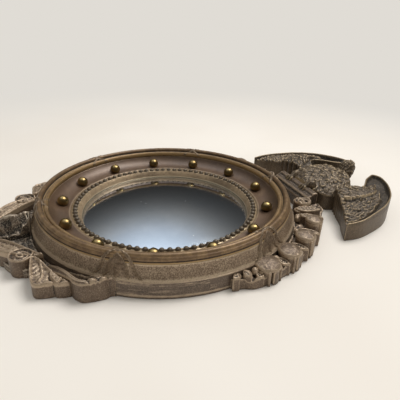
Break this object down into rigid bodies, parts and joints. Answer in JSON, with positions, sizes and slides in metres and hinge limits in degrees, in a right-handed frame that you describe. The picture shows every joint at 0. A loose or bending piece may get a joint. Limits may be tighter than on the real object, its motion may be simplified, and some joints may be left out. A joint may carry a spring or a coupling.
{
  "type": "girandole mirror",
  "caption": "Round convex girandole mirror in a moulded bronzed frame: ball-studded cove, pearl string, reeded rim, eagle crest with spread wings and acanthus pendant.",
  "frame": {"origin": "centre of the ring on the flat back, the face that lies on the wall", "axes": "+Z out of the glass towards the viewer, +Y up the wall to the eagle, +X to the viewer's right"},
  "size_m": [0.2956, 0.4562, 0.044],
  "materials": {
    "antiqued_bronze": "dark antiqued bronze paint on moulded wood composition, dry-brushed",
    "rubbed_moulding": "bronze paint rubbed back to gold on the reeds",
    "satin_cove": "smooth satin brown bronze",
    "polished_brass": "polished brass-coloured balls",
    "gilt_sight_edge": "mottled tan-gold bronze paint",
    "bronzed_pearls": "bronzed moulded pearls",
    "mirror_glass": "clean convex glass, silvered behind",
    "silver_paint": "silvering under grey backing paint",
    "grey_card": "grey card",
    "hardboard": "brown hardboard, smooth face out",
    "zinc_steel": "zinc-plated steel",
    "brassed_steel": "brass-plated steel",
    "beech": "plain beech dowel",
    "feather_bronze": "carved feathers, dark in the cuts and rubbed tan-gold on top",
    "carved_bronze": "carved leaf, dark in the cuts and dry-brushed on top"
  },
  "bodies": {
    "frame": {"acorns_left": "carved_bronze", "acorns_right": "carved_bronze", "back_flange": "antiqued_bronze", "backboard": "hardboard", "backboard_screws": "zinc_steel", "ball_studs": "polished_brass", "bead_ring": "bronzed_pearls", "berries_left": "carved_bronze", "berries_right": "carved_bronze", "c_scroll_left": "carved_bronze", "c_scroll_right": "carved_bronze", "convex_glass": "mirror_glass", "corner_leaf_left": "carved_bronze", "corner_leaf_right": "carved_bronze", "cove_ring": "satin_cove", "eagle_body": "feather_bronze", "eagle_head": "feather_bronze", "eagle_legs": "feather_bronze", "eagle_plinth": "antiqued_bronze", "glass_spacer": "grey_card", "hanger_plate": "brassed_steel", "hanger_screws": "zinc_steel", "long_leaf_left": "carved_bronze", "long_leaf_right": "carved_bronze", "ornament_dowels": "beech", "pendant_backing": "antiqued_bronze", "pendant_ridge": "carved_bronze", "plinth_bracket_left": "carved_bronze", "plinth_bracket_right": "carved_bronze", "reeded_moulding": "rubbed_moulding", "ribbon_ties": "rubbed_moulding", "sight_ring": "gilt_sight_edge", "silver_coat": "silver_paint", "stippled_frieze": "antiqued_bronze", "swag_backing_left": "antiqued_bronze", "swag_backing_right": "antiqued_bronze", "swag_leaves_left": "carved_bronze", "swag_leaves_right": "carved_bronze", "volute_left": "carved_bronze", "volute_right": "carved_bronze", "wing_feathers_left": "feather_bronze", "wing_feathers_right": "feather_bronze", "wing_left": "antiqued_bronze", "wing_right": "antiqued_bronze"},
    "hanging_ring": {"hanging_ring": "brassed_steel"}
  },
  "joints": [
    {"name": "hanging_ring_swing", "type": "hinge", "parent": "frame", "child": "hanging_ring", "pos_m": [0, 0.124, 0.00275], "axis": [-1, 0, 0], "range_deg": [0, 150]}
  ]
}
